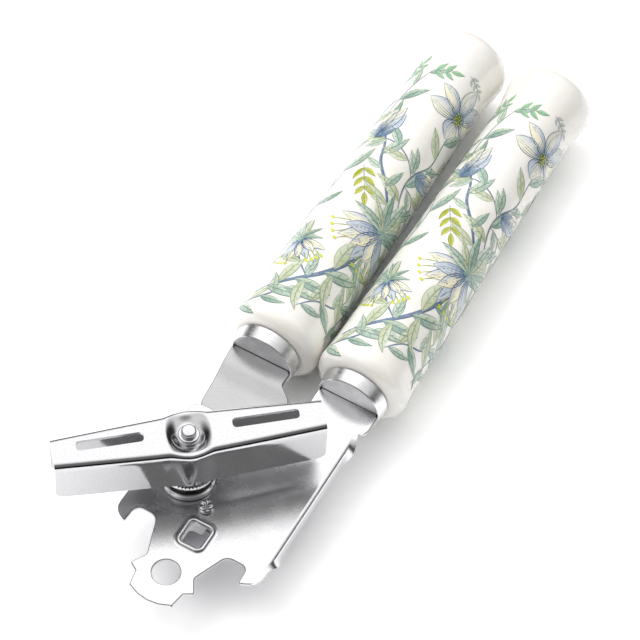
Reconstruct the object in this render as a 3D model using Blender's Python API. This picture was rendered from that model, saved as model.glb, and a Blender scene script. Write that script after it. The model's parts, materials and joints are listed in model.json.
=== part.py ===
"""Butterfly can opener: two handled steel plates that pivot on an eccentric bush, and a turning key.

Lengths are millimetres in the working frame and become metres as each mesh is made. The working
frame has its origin midway between the two ferrules' front faces, at the height of the handle axes:
+Y runs towards the handle butts, +X towards the plate that carries the cutter, +Z up to the key.
A top empty then moves the whole opener so that its lowest, middle point is the world origin.
"""

import bpy
import bmesh
from math import atan2, ceil, cos, degrees, pi, radians, sin, tan
from mathutils import Vector

MM = 0.001
GAP = 0.3                      # clearance between neighbouring pieces

# Handles and ferrules, turned about lines parallel to Y
HANDLE_X = 13.8                # half the spacing of the two handle axes
FERRULE_LENGTH = 4.3
FERRULE_FRONT_RADIUS = 9.5
FERRULE_REAR_RADIUS = 10.0
FERRULE_WALL = 0.8
FERRULE_END_WALL = 1.3
FERRULE_RECESS = 0.4
SPIGOT_END = 10.0
SPIGOT_RADIUS = 8.2
HANDLE_BORE = SPIGOT_RADIUS + GAP
CORE_END = 116.0
HANDLE_PROFILE = [             # (distance along Y, radius) of the outer surface
    (4.6, 9.4), (4.7, 10.5), (5.3, 11.8), (6.3, 12.9), (7.6, 13.5), (9.0, 13.6), (11.0, 13.45),
    (14.0, 13.15), (18.0, 13.0), (30.0, 12.85), (50.0, 12.5), (70.0, 12.15), (90.0, 11.85),
    (104.0, 11.7), (111.0, 11.85), (116.0, 12.5), (119.0, 12.9), (121.0, 12.95), (123.0, 12.4),
    (124.6, 11.0), (125.6, 8.6), (126.0, 5.0), (126.1, 0.0)]

# Plates
PLATE_THICKNESS = 1.2
TOP_Z = PLATE_THICKNESS / 2    # upper face of the upper plate
LOWER_TOP_Z = -TOP_Z - GAP     # upper face of the lower plate, under the upper one
JOGGLE_Y = (-4.0, -12.0)       # the lower plate steps down between these lines
TANG_HALF_WIDTH = 9.2          # outside the ferrule
TANG_SLOT_HALF = 8.7           # inside the ferrule's front wall
TANG_TAIL_HALF = 6.0           # inside the handle core
TANG_SHOULDER_Y = 3.2
TANG_END_Y = 60.0
EDGE_FLANGE = (19.9, 21.1, -56.0, -9.0)    # x and y limits of the stiffening flange
EDGE_FLANGE_DROP = 3.5
NOSE_X = -1.9                  # centre line of the nose that holds the hang hole
HANG_HOLE_Y = -71.3
HANG_HOLE_RADIUS = 3.9
WINDOW = (-0.9, -57.6, 6.4, 7.3)           # centre, width, length
WINDOW_CORNER = 1.3
WINDOW_RIM = 0.85
WINDOW_RIM_HEIGHT = 0.6

# Pivot: the bush's body is the handle pivot, and its bore holds the spindle off centre
SPINDLE = Vector((-11.8, -43.0))
ECCENTRICITY = 2.0
ECCENTRIC_ANGLE = radians(-13.4)
PIVOT = SPINDLE - ECCENTRICITY * Vector((cos(ECCENTRIC_ANGLE), sin(ECCENTRIC_ANGLE)))
BUSH_BODY_RADIUS = 5.5
BUSH_HEAD_RADIUS = 7.8
BUSH_HEAD_Z = (TOP_Z + GAP, 5.4)
BUSH_BOTTOM_Z = -3.6
EYE_RADIUS = 8.6
LOCK_RING_Z = (-3.4, -2.4)
SPINDLE_RADIUS = 2.4
SHOULDER_RADIUS = 3.4
SPINDLE_END_RADIUS = 2.0

# Key: a channel open below and at both ends
KEY_ANGLE = radians(40.7)
KEY_HALF_LENGTH = 36.5
KEY_END_HALF_WIDTH = 4.8
KEY_HUB_HALF_WIDTH = 6.9
KEY_TAPER_POWER = 1.15         # above 1, so the sides bow outwards a little
KEY_BULGE = 0.9
KEY_BULGE_HALF_LENGTH = 7.0
KEY_SHEET = 1.0
KEY_Z = (8.3, 23.0)
KEY_SLOT = (11.9, 30.0, 1.0, 3.0)          # start, end, centre offset, width
HUB_DIMPLE_RADIUS = 5.2
HUB_DIMPLE_DEPTH = 0.9

# Under the plates
CUTTER_Z = (-2.5, LOWER_TOP_Z)
CUTTER_EDGE = (Vector((-4.6, -45.0)), Vector((-7.6, -50.6)))
CUTTER_BLADE_THICKNESS = 1.3
CUTTER_BLADE_Z = -7.4
RIVET = Vector((-2.7, -49.0))
RIVET_RADIUS = 1.5
RIVET_HEAD_RADIUS = 2.1
WHEEL_Z = (-6.5, -3.9)
WHEEL_RADIUS = 6.0
WHEEL_TEETH = 20


# ---------------------------------------------------------------- outlines

def arc(centre, radius, start, end, steps):
    """Points from angle start to angle end, both included, in degrees."""
    angles = [radians(start + (end - start) * i / steps) for i in range(steps + 1)]
    return [(centre[0] + radius * cos(a), centre[1] + radius * sin(a)) for a in angles]


def circle(centre, radius, steps=32):
    return arc(centre, radius, 0.0, 360.0, steps)[:-1]


def rounded(corners, step=20.0):
    """Outline through corners (x, y, radius): a corner with a radius becomes an arc."""
    points = []
    for i, (x, y, radius) in enumerate(corners):
        here = Vector((x, y))
        if radius == 0.0:
            points.append((x, y))
            continue
        before = (Vector(corners[i - 1][:2]) - here).normalized()
        after = (Vector(corners[(i + 1) % len(corners)][:2]) - here).normalized()
        half = before.angle(after) / 2
        centre = here + (before + after).normalized() * radius / sin(half)
        first = here + before * radius / tan(half) - centre
        turn = (pi - 2 * half) * (1 if before.cross(after) < 0 else -1)
        steps = max(2, ceil(abs(degrees(turn)) / step))
        angle = atan2(first.y, first.x)
        for k in range(steps + 1):
            a = angle + turn * k / steps
            points.append((centre.x + radius * cos(a), centre.y + radius * sin(a)))
    return points


def toothed(centre, tip, root, teeth, duty=0.35):
    """Outline of a wheel with flat-topped teeth."""
    points = []
    for i in range(teeth):
        for part, radius in ((0.0, root), (0.5 - duty, root), (0.5, tip), (0.5 + duty, tip)):
            a = 2 * pi * (i + part) / teeth
            points.append((centre[0] + radius * cos(a), centre[1] + radius * sin(a)))
    return points


def rectangle(x0, y0, x1, y1, radius=0.0):
    return rounded([(x0, y0, radius), (x1, y0, radius), (x1, y1, radius), (x0, y1, radius)], 30.0)


# ---------------------------------------------------------------- meshes

def slab(outline, holes, low, high):
    """A flat plate with holes, between two heights."""
    bm = bmesh.new()
    for loop in [outline] + holes:
        verts = [bm.verts.new((x, y, low)) for x, y in loop]
        for i, vert in enumerate(verts):
            bm.edges.new((vert, verts[(i + 1) % len(verts)]))
    bmesh.ops.triangle_fill(bm, use_beauty=True, edges=bm.edges[:], normal=(0, 0, 1))
    made = bmesh.ops.extrude_face_region(bm, geom=bm.faces[:])["geom"]
    raised = [part for part in made if isinstance(part, bmesh.types.BMVert)]
    bmesh.ops.translate(bm, vec=(0, 0, high - low), verts=raised)
    bmesh.ops.recalc_face_normals(bm, faces=bm.faces[:])
    return bm


def turned(profile, centre, steps=32, along_y=False):
    """A solid of revolution. The closed profile holds (radius, distance along the axis) points."""
    bm = bmesh.new()
    rings = []
    for radius, z in profile:
        if radius == 0.0:
            pole = bm.verts.new((0, 0, z))
            rings.append([pole] * steps)
        else:
            rings.append([bm.verts.new((x, y, z)) for x, y in circle((0, 0), radius, steps)])
    for i, ring in enumerate(rings):
        following = rings[(i + 1) % len(rings)]
        for k in range(steps):
            corner = [ring[k], ring[(k + 1) % steps], following[(k + 1) % steps], following[k]]
            face = list(dict.fromkeys(corner))
            if len(face) > 2:
                bm.faces.new(face)
    bmesh.ops.recalc_face_normals(bm, faces=bm.faces[:])
    if along_y:
        for vert in bm.verts:
            vert.co = (vert.co.x, vert.co.z, -vert.co.y)
    bmesh.ops.translate(bm, vec=(centre[0], centre[1] if not along_y else 0.0, 0), verts=bm.verts[:])
    return bm


def block(x0, x1, y0, y1, z0, z1):
    return slab([(x0, y0), (x1, y0), (x1, y1), (x0, y1)], [], z0, z1)


def combined(first, second, operation):
    """The union or difference of two meshes."""
    objects = []
    for bm in (first, second):
        mesh = bpy.data.meshes.new("working")
        bm.to_mesh(mesh)
        bm.free()
        objects.append(bpy.data.objects.new("working", mesh))
        bpy.context.scene.collection.objects.link(objects[-1])
    modifier = objects[0].modifiers.new("combine", "BOOLEAN")
    modifier.operation = operation
    modifier.solver = "EXACT"
    modifier.object = objects[1]
    bpy.context.view_layer.update()
    result = bmesh.new()
    result.from_mesh(objects[0].evaluated_get(bpy.context.evaluated_depsgraph_get()).to_mesh())
    bmesh.ops.triangulate(result, faces=result.faces[:])
    for obj in objects:
        mesh = obj.data
        bpy.data.objects.remove(obj)
        bpy.data.meshes.remove(mesh)
    return result


def cut(bm, *tools):
    for tool in tools:
        bm = combined(bm, tool, "DIFFERENCE")
    return bm


def join(bm, *tools):
    for tool in tools:
        bm = combined(bm, tool, "UNION")
    return bm


# ---------------------------------------------------------------- the scene

def material(name, colour, roughness, metallic):
    made = bpy.data.materials.new(name)
    made.use_nodes = True
    shader = made.node_tree.nodes["Principled BSDF"]
    shader.inputs["Base Color"].default_value = (*colour, 1.0)
    shader.inputs["Roughness"].default_value = roughness
    shader.inputs["Metallic"].default_value = metallic
    return made


def empty(name, location, parent):
    made = bpy.data.objects.new(name, None)
    made.location = Vector(location) * MM
    made.parent = parent
    bpy.context.scene.collection.objects.link(made)
    return made


class Body:
    """One moving body: an empty on its joint's axis, and the pieces parented to it."""

    def __init__(self, name, axis_point, parent):
        self.axis_point = Vector(axis_point)
        above = parent.axis_point if isinstance(parent, Body) else Vector((0, 0, 0))
        frame = parent.empty if isinstance(parent, Body) else parent
        self.empty = empty(name, self.axis_point - above, frame)

    def add(self, name, bm, finish, sharp_degrees=35.0):
        for vert in bm.verts:
            vert.co = (vert.co - self.axis_point) * MM
        bmesh.ops.triangulate(bm, faces=[face for face in bm.faces if len(face.verts) > 4])
        mesh = bpy.data.meshes.new(name)
        bm.to_mesh(mesh)
        bm.free()
        mesh.shade_smooth()
        mesh.set_sharp_from_angle(angle=radians(sharp_degrees))
        mesh.materials.append(finish)
        obj = bpy.data.objects.new(name, mesh)
        obj.parent = self.empty
        bpy.context.scene.collection.objects.link(obj)


def clear_scene():
    for obj in list(bpy.data.objects):
        bpy.data.objects.remove(obj, do_unlink=True)


# ---------------------------------------------------------------- plates

def tang(side, flip):
    """Corners of a tang about x = side, from its inner end down to the shoulder outside the ferrule.

    flip is -1 for its left edge and 1 for its right edge.
    """
    return [
        (side + flip * TANG_TAIL_HALF, TANG_END_Y, 2.0),
        (side + flip * TANG_TAIL_HALF, TANG_SHOULDER_Y, 0.0),
        (side + flip * TANG_SLOT_HALF, TANG_SHOULDER_Y, 0.0),
        (side + flip * TANG_SLOT_HALF, -GAP, 0.0),
        (side + flip * TANG_HALF_WIDTH, -GAP, 0.0)]


def upper_plate_outline():
    left = [
        (4.6, -21.0, 6.0), (-22.8, -21.0, 3.2), (-23.7, -61.2, 4.0), (-19.6, -63.4, 0.4),
        (-19.3, -57.6, 2.2), (-12.9, -57.6, 2.8), (-9.1, -69.2, 1.5), (-11.6, -73.3, 0.5),
        (-9.1, -74.8, 0.5), (-8.4, -79.2, 0.0)]
    right = [
        (NOSE_X, -83.0, 12.2), (4.6, -79.2, 0.0), (5.3, -74.8, 0.5), (7.8, -73.3, 0.5),
        (5.4, -69.2, 1.5), (9.6, -59.1, 2.8), (16.0, -59.1, 2.0), (16.2, -64.5, 0.4),
        (21.2, -62.6, 5.0), (21.1, -9.0, 3.0), (23.0, -6.0, 3.0)]
    return rounded(tang(HANDLE_X, -1) + left + right + tang(HANDLE_X, 1)[::-1])


def window_outline(extra):
    x, y, width, length = WINDOW
    half_x = width / 2 + extra
    half_y = length / 2 + extra
    return rectangle(x - half_x, y - half_y, x + half_x, y + half_y, WINDOW_CORNER + extra)


def upper_plate():
    """The cutter's plate: hooks, nose, hang hole, rimmed window and one turned-down edge."""
    holes = [
        circle((NOSE_X, HANG_HOLE_Y), HANG_HOLE_RADIUS, 28), window_outline(0.0),
        circle(PIVOT, BUSH_BODY_RADIUS + GAP, 32), circle(RIVET, RIVET_RADIUS + GAP, 16)]
    plate = slab(upper_plate_outline(), holes, -TOP_Z, TOP_Z)
    x0, x1, y0, y1 = EDGE_FLANGE
    flange = block(x0, x1 + 0.02, y0, y1, -TOP_Z - EDGE_FLANGE_DROP, TOP_Z - 0.2)
    rim = slab(window_outline(WINDOW_RIM), [window_outline(0.05)], TOP_Z - 0.2, TOP_Z + WINDOW_RIM_HEIGHT)
    return join(plate, flange, rim)


def lower_plate_outline():
    """The tang on the left, and an eye round the bush."""
    left = [(-21.5, -20.4, 3.5), (-17.2, -22.8, 3.0), (-18.8, -31.0, 8.0)]
    eye = [(x, y, 0.0) for x, y in arc(PIVOT, EYE_RADIUS, 150.0, 390.0, 20)]
    right = [(-0.2, -26.0, 6.0), (-0.2, -8.0, 3.0), (-4.6, -4.6, 1.5)]
    return rounded(tang(-HANDLE_X, -1) + left + eye + right + tang(-HANDLE_X, 1)[::-1])


def lower_plate():
    """The second plate. It lies in the handle's plane at its tang and below the other plate at its eye."""
    plate = slab(lower_plate_outline(), [circle(PIVOT, BUSH_BODY_RADIUS + GAP, 32)], -TOP_Z, TOP_Z)
    start, end = JOGGLE_Y
    for i in range(7):
        y = start + (end - start) * i / 6
        everything = plate.verts[:] + plate.edges[:] + plate.faces[:]
        bmesh.ops.bisect_plane(plate, geom=everything, plane_co=(0, y, 0), plane_no=(0, 1, 0))
    drop = PLATE_THICKNESS + GAP
    for vert in plate.verts:
        t = min(1.0, max(0.0, (vert.co.y - start) / (end - start)))
        vert.co.z -= drop * t * t * (3 - 2 * t)
    return plate


# ---------------------------------------------------------------- handles

def ferrule(side):
    """A drawn cup whose front wall the tang passes through."""
    inner = SPIGOT_RADIUS - FERRULE_WALL
    rim = FERRULE_FRONT_RADIUS - 0.5
    inside = FERRULE_RECESS + FERRULE_END_WALL
    profile = [
        (0.0, FERRULE_RECESS), (rim, FERRULE_RECESS), (rim, 0.0), (FERRULE_FRONT_RADIUS - 0.2, 0.0),
        (FERRULE_FRONT_RADIUS, 0.2), (FERRULE_REAR_RADIUS, FERRULE_LENGTH - 0.3),
        (FERRULE_REAR_RADIUS - 0.3, FERRULE_LENGTH), (SPIGOT_RADIUS, FERRULE_LENGTH),
        (SPIGOT_RADIUS, SPIGOT_END), (inner, SPIGOT_END), (inner, inside), (0.0, inside)]
    cup = turned(profile, (side, 0), 48, along_y=True)
    slot = TANG_SLOT_HALF + GAP
    height = TOP_Z + GAP
    return cut(cup, block(side - slot, side + slot, -1.0, TANG_SHOULDER_Y + GAP, -height, height))


def handle(side):
    """The moulded, decorated handle: a closed butt and a bore from the front."""
    profile = [(radius, y) for y, radius in HANDLE_PROFILE]
    end = CORE_END + GAP
    first = HANDLE_PROFILE[0][0]
    profile += [(0.0, end + 1.0), (HANDLE_BORE - 1.0, end + 1.0), (HANDLE_BORE, end), (HANDLE_BORE, first)]
    return turned(profile, (side, 0), 40, along_y=True)


def handle_core(side):
    """The plug inside the handle that grips the tang's tail."""
    start = SPIGOT_END + GAP
    profile = [(0.0, start), (SPIGOT_RADIUS, start), (SPIGOT_RADIUS, CORE_END), (0.0, CORE_END)]
    core = turned(profile, (side, 0), 24, along_y=True)
    half = TANG_TAIL_HALF + GAP
    height = TOP_Z + GAP
    return cut(core, block(side - half, side + half, start - 1.0, TANG_END_Y + 1.0, -height, height))


# ---------------------------------------------------------------- pivot and cutter

def eccentric_bush():
    """The handle pivot, with the polished collar round the spindle as its head."""
    low, high = BUSH_HEAD_Z
    head_profile = [
        (0.0, low), (BUSH_HEAD_RADIUS, low), (BUSH_HEAD_RADIUS, low + 0.9),
        (BUSH_HEAD_RADIUS - 0.7, low + 1.3), (BUSH_HEAD_RADIUS - 1.3, low + 2.2),
        (BUSH_HEAD_RADIUS - 1.3, low + 2.9),
        (BUSH_HEAD_RADIUS - 0.8, high), (0.0, high)]
    head = turned(head_profile, SPINDLE, 40)
    body = slab(circle(PIVOT, BUSH_BODY_RADIUS, 32), [], BUSH_BOTTOM_Z, low + 0.5)
    bore = slab(circle(SPINDLE, SPINDLE_RADIUS + GAP, 24), [], BUSH_BOTTOM_Z - 1.0, high + 1.0)
    return cut(join(head, body), bore)


def bush_lock_ring():
    hole = circle(PIVOT, BUSH_BODY_RADIUS + GAP, 28)
    return slab(circle(PIVOT, EYE_RADIUS - 1.2, 28), [hole], *LOCK_RING_Z)


def cutter_outline():
    """The base reaches from the rivet, past the right side of the window, to a tongue below it."""
    top, bottom = CUTTER_EDGE
    return rounded([
        (top.x, top.y, 0.0), (bottom.x, bottom.y, 0.0), (-5.8, -53.0, 1.2), (0.2, -53.0, 0.6),
        (0.2, -56.0, 0.6), (-3.7, -56.0, 1.5), (-3.7, -63.6, 0.8), (6.2, -63.6, 2.0), (6.2, -48.0, 4.0)])


def cutter_blade():
    """A riveted base whose edge beside the wheel turns down into the pointed blade."""
    base = slab(cutter_outline(), [circle(RIVET, RIVET_RADIUS + GAP, 16)], *CUTTER_Z)
    top, bottom = CUTTER_EDGE
    along = (bottom - top).normalized()
    away = Vector((-along.y, along.x)) * CUTTER_BLADE_THICKNESS
    length = (bottom - top).length
    corners = [tuple(p) for p in (top, bottom, bottom + away, top + away)]
    fold = slab(corners, [], CUTTER_BLADE_Z, CUTTER_Z[1] - 0.2)
    for vert in fold.verts:
        if vert.co.z < CUTTER_BLADE_Z + 0.1:
            share = (vert.co.xy - top).dot(along) / length
            vert.co.z += 2.6 * abs(share - 0.5) * 2
    return join(base, fold)


def cutter_rivet():
    low, high = CUTTER_Z[0] - GAP, TOP_Z + GAP
    profile = [
        (0.0, low - 0.9), (2.0, low - 0.9), (2.3, low - 0.5), (2.3, low), (RIVET_RADIUS, low),
        (RIVET_RADIUS, high), (RIVET_HEAD_RADIUS, high), (RIVET_HEAD_RADIUS, high + 0.6),
        (1.6, high + 1.1), (0.0, high + 1.3)]
    return turned(profile, RIVET, 24)


# ---------------------------------------------------------------- the key and what turns with it

def key_half_width(s):
    """Half the channel's outside width at distance s from the spindle."""
    t = min(1.0, abs(s) / KEY_HALF_LENGTH) ** KEY_TAPER_POWER
    width = KEY_HUB_HALF_WIDTH + (KEY_END_HALF_WIDTH - KEY_HUB_HALF_WIDTH) * t
    if abs(s) < KEY_BULGE_HALF_LENGTH:
        width += KEY_BULGE * (1 + cos(pi * s / KEY_BULGE_HALF_LENGTH)) / 2
    return width


def key_outline(inset, reach):
    """Plan of the channel, on the key's own axes, from -reach to +reach."""
    wing = [12.0, 19.0, 27.0, reach]
    hub = [KEY_BULGE_HALF_LENGTH * i / 6 for i in range(-6, 7)]
    stations = [-s for s in reversed(wing)] + hub + wing
    front = [(s, inset - key_half_width(s)) for s in stations]
    back = [(s, key_half_width(s) - inset) for s in reversed(stations)]
    return [placed_on_key(p) for p in front + back]


def placed_on_key(point):
    s, n = point
    return (
        SPINDLE.x + s * cos(KEY_ANGLE) - n * sin(KEY_ANGLE),
        SPINDLE.y + s * sin(KEY_ANGLE) + n * cos(KEY_ANGLE))


def key_slot(side):
    start, end, offset, width = KEY_SLOT
    corners = rectangle(start, offset - width / 2, end, offset + width / 2, 1.0)
    return slab([placed_on_key((side * s, n)) for s, n in corners], [], KEY_Z[0] + 8.0, KEY_Z[1] + 1.0)


def turning_key():
    """A folded sheet: a top with two finger slots and a dimpled hub, and two deep flanges."""
    low, high = KEY_Z
    inside = high - KEY_SHEET
    channel = slab(key_outline(0.0, KEY_HALF_LENGTH), [], low, high)
    hollow = slab(key_outline(KEY_SHEET, KEY_HALF_LENGTH + 2.0), [], low - 1.0, inside)
    floor = high - HUB_DIMPLE_DEPTH
    hub = slab(circle(SPINDLE, HUB_DIMPLE_RADIUS + 0.8, 32), [], floor - KEY_SHEET, inside + 0.2)
    dimple = slab(circle(SPINDLE, HUB_DIMPLE_RADIUS, 32), [], floor, high + 1.0)
    bore = slab(circle(SPINDLE, SPINDLE_END_RADIUS + GAP, 24), [], low, high + 1.0)
    shell = join(cut(channel, hollow), hub)
    return cut(shell, dimple, bore, key_slot(1), key_slot(-1))


def key_spindle():
    """Shouldered under the key, running in the bush, and domed over where it is peened."""
    hub_bottom = KEY_Z[1] - HUB_DIMPLE_DEPTH - KEY_SHEET
    top = KEY_Z[1] + 1.6
    profile = [
        (0.0, -10.4), (SPINDLE_END_RADIUS - 0.4, -10.4), (SPINDLE_END_RADIUS, -10.0),
        (SPINDLE_END_RADIUS, -3.7), (SPINDLE_RADIUS, -3.7), (SPINDLE_RADIUS, 6.9),
        (SHOULDER_RADIUS, 6.9), (SHOULDER_RADIUS, hub_bottom - GAP), (SPINDLE_END_RADIUS, hub_bottom - GAP),
        (SPINDLE_END_RADIUS, top - 0.9), (1.6, top - 0.3), (0.9, top - 0.05), (0.0, top)]
    return turned(profile, SPINDLE, 24)


def key_washer():
    low = KEY_Z[1] - HUB_DIMPLE_DEPTH + GAP
    inner = SPINDLE_END_RADIUS + GAP
    profile = [(3.2, low), (3.2, low + 0.5), (2.9, low + 0.8), (inner, low + 0.8), (inner, low)]
    return turned(profile, SPINDLE, 28)


def toothed_washer():
    return slab(toothed(SPINDLE, 7.3, 6.6, 24), [circle(SPINDLE, SPINDLE_RADIUS + GAP, 20)], 5.7, 6.5)


def feed_wheel():
    return slab(
        toothed(SPINDLE, WHEEL_RADIUS, WHEEL_RADIUS - 0.9, WHEEL_TEETH, 0.2),
        [circle(SPINDLE, SPINDLE_END_RADIUS + GAP, 20)], *WHEEL_Z)


def wheel_washer():
    hole = circle(SPINDLE, SPINDLE_END_RADIUS + GAP, 20)
    return slab(circle(SPINDLE, 4.2, 24), [hole], -7.6, WHEEL_Z[0] - GAP)


def spindle_nut():
    return slab(circle(SPINDLE, 3.7, 6), [circle(SPINDLE, SPINDLE_END_RADIUS + GAP, 20)], -9.9, -7.9)


# ---------------------------------------------------------------- assembly

def stand_on_origin(top):
    """Moves the opener so that the bottom centre of its bounding box is the world origin."""
    bpy.context.view_layer.update()
    solids = [obj for obj in bpy.data.objects if obj.type == "MESH"]
    corners = [obj.matrix_world @ Vector(corner) for obj in solids for corner in obj.bound_box]
    low = [min(c[i] for c in corners) for i in range(3)]
    high = [max(c[i] for c in corners) for i in range(3)]
    top.location = (-(low[0] + high[0]) / 2, -(low[1] + high[1]) / 2, -low[2])
    bpy.context.view_layer.update()


def build():
    clear_scene()
    nickel = material("polished_nickel_steel", (0.72, 0.72, 0.73), 0.12, 1.0)
    brushed = material("satin_ferrule_steel", (0.60, 0.60, 0.61), 0.32, 1.0)
    hardened = material("hardened_steel", (0.32, 0.32, 0.34), 0.30, 1.0)
    glaze = material("white_printed_plastic", (0.90, 0.89, 0.86), 0.12, 0.0)
    core = material("core_plastic", (0.75, 0.74, 0.70), 0.50, 0.0)

    top = empty("can_opener", (0, 0, 0), None)
    upper = Body("upper_arm_frame", (0, 0, 0), top)
    lower = Body("lower_arm_axis", (PIVOT.x, PIVOT.y, 0), upper)
    key = Body("key_axis", (SPINDLE.x, SPINDLE.y, 0), lower)

    upper.add("upper_plate", upper_plate(), nickel)
    upper.add("cutter_blade", cutter_blade(), hardened)
    upper.add("cutter_rivet", cutter_rivet(), nickel)
    lower.add("lower_plate", lower_plate(), nickel)
    lower.add("eccentric_bush", eccentric_bush(), nickel)
    lower.add("bush_lock_ring", bush_lock_ring(), hardened)
    for arm, prefix, side in ((upper, "right", HANDLE_X), (lower, "left", -HANDLE_X)):
        arm.add(prefix + "_ferrule", ferrule(side), brushed)
        arm.add(prefix + "_handle", handle(side), glaze)
        arm.add(prefix + "_handle_core", handle_core(side), core)
    key.add("turning_key", turning_key(), nickel)
    key.add("key_spindle", key_spindle(), nickel)
    key.add("key_washer", key_washer(), nickel)
    key.add("toothed_washer", toothed_washer(), hardened)
    key.add("feed_wheel", feed_wheel(), hardened)
    key.add("wheel_washer", wheel_washer(), nickel)
    key.add("spindle_nut", spindle_nut(), nickel)
    stand_on_origin(top)


build()
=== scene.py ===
"""Looks of the butterfly can opener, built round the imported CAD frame.

Shapes are worked out in millimetres in the opener's working frame: the origin lies midway between
the two ferrules' front faces at the height of the handle axes, +Y runs to the handle butts, +X to
the plate with the cutter and +Z up to the key. in_frame() turns such a point into the frame's metres.
"""

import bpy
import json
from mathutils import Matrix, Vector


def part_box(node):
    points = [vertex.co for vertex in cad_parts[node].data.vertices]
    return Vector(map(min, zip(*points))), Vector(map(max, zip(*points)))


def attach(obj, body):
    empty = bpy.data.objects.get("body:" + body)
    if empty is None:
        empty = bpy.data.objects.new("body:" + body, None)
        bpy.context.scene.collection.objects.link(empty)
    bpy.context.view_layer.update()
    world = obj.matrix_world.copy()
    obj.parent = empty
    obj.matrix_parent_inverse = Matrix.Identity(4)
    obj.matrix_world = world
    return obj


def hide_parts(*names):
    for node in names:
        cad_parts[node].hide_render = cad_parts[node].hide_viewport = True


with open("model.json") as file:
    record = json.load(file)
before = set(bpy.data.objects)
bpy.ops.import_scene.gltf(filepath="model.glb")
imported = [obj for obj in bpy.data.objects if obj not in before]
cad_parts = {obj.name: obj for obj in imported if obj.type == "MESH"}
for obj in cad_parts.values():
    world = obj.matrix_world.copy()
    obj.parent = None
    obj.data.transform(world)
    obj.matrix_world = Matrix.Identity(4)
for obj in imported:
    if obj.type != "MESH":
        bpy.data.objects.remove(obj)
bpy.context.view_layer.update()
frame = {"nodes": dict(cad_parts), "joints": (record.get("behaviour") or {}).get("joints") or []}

import json
from math import atan2, cos, degrees, hypot, pi, radians, sin, sqrt
from random import Random

import bmesh
import bpy
from mathutils import Matrix, Vector

MM = 0.001


# ---------------------------------------------------------------- places, from the frame

def middle(node):
    low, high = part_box(node)
    return (low + high) / 2


def joint_point(name):
    return Vector(next(j["pos_m"] for j in frame["joints"] if j["name"] == name))


BASE = Vector((
    (middle("left_handle").x + middle("right_handle").x) / 2,
    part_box("left_ferrule")[0].y,
    middle("right_handle").z))
HANDLE_X = (middle("right_handle").x - BASE.x) / MM
SPINDLE = (joint_point("key_spin") - BASE) / MM
PIVOT = (joint_point("handle_hinge") - BASE) / MM
KEY_BOX = [(corner - BASE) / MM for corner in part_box("turning_key")]
BUSH_BOX = [(corner - BASE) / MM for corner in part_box("eccentric_bush")]
SPINDLE_BOX = [(corner - BASE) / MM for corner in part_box("key_spindle")]
WASHER_BOX = [(corner - BASE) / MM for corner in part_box("key_washer")]
TOOTHED_BOX = [(corner - BASE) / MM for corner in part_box("toothed_washer")]
RIVET_BOX = [(corner - BASE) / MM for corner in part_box("cutter_rivet")]


def in_frame(point):
    return BASE + Vector(point) * MM


# ---------------------------------------------------------------- mesh helpers

def smoothstep(low, high, x):
    t = min(1.0, max(0.0, (x - low) / (high - low)))
    return t * t * (3 - 2 * t)


def srgb(red, green, blue):
    """Linear colour of a screen colour given as 0 to 255."""

    def linear(channel):
        share = channel / 255
        return share / 12.92 if channel <= 10 else ((share + 0.055) / 1.055) ** 2.4

    return tuple(linear(channel) for channel in (red, green, blue))


def add_piece(name, bm, finish, body, nodes=(), sharp=35.0):
    """A finished piece from a mesh in the working frame."""
    for vert in bm.verts:
        vert.co = in_frame(vert.co)
    mesh = bpy.data.meshes.new(name)
    bm.to_mesh(mesh)
    bm.free()
    mesh.shade_smooth()
    mesh.set_sharp_from_angle(angle=radians(sharp))
    mesh.materials.append(finish)
    piece = bpy.data.objects.new(name, mesh)
    bpy.context.scene.collection.objects.link(piece)
    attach(piece, body)
    if nodes:
        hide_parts(*nodes)
    return piece


def bevelled(piece, width, segments=2, angle=40.0, edge_finish=None, marked=False):
    """The piece with its sharp or marked edges rounded over. A second finish covers the rounding alone."""
    modifier = piece.modifiers.new("rounded_edges", "BEVEL")
    if edge_finish:
        piece.data.materials.append(edge_finish)
        modifier.material = 1
        modifier.use_clamp_overlap = False
    modifier.width = width * MM
    modifier.segments = segments
    modifier.limit_method = "WEIGHT" if marked else "ANGLE"
    modifier.angle_limit = radians(angle)
    modifier.miter_outer = "MITER_ARC"
    modifier.harden_normals = True
    return piece


def ring_points(radius, steps):
    return [(radius * cos(2 * pi * k / steps), radius * sin(2 * pi * k / steps)) for k in range(steps)]


def lathe(profile, centre, steps=96, along_y=False, bm=None):
    """A turned surface through (radius, distance) points.

    Its first and last points are on the axis, or else it closes on itself.
    """
    bm = bm or bmesh.new()
    rings = []
    for radius, distance in profile:
        if radius == 0.0:
            rings.append([bm.verts.new((0, 0, distance))] * steps)
        else:
            rings.append([bm.verts.new((x, y, distance)) for x, y in ring_points(radius, steps)])
    closing = [] if profile[0][0] == 0.0 else [rings[0]]
    for ring, following in zip(rings, rings[1:] + closing):
        for k in range(steps):
            corners = [ring[k], ring[(k + 1) % steps], following[(k + 1) % steps], following[k]]
            face = list(dict.fromkeys(corners))
            if len(face) > 2:
                bm.faces.new(face)
    made = {vert for ring in rings for vert in ring}
    for vert in made:
        if along_y:
            vert.co = (vert.co.x, vert.co.z, -vert.co.y)
        vert.co += Vector(centre)
    bmesh.ops.recalc_face_normals(bm, faces=bm.faces[:])
    return bm


def curve_through(points, per_span):
    """Points along a Catmull-Rom curve."""
    points = [Vector(p) for p in points]
    ends = [2 * points[0] - points[1]] + points + [2 * points[-1] - points[-2]]
    made = []
    for a, b, c, d in zip(ends, ends[1:], ends[2:], ends[3:]):
        for i in range(per_span):
            t = i / per_span
            made.append(0.5 * (2 * b + (c - a) * t + (2 * a - 5 * b + 4 * c - d) * t * t
                               + (3 * b - a - 3 * c + d) * t ** 3))
    return made + [points[-1]]


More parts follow.
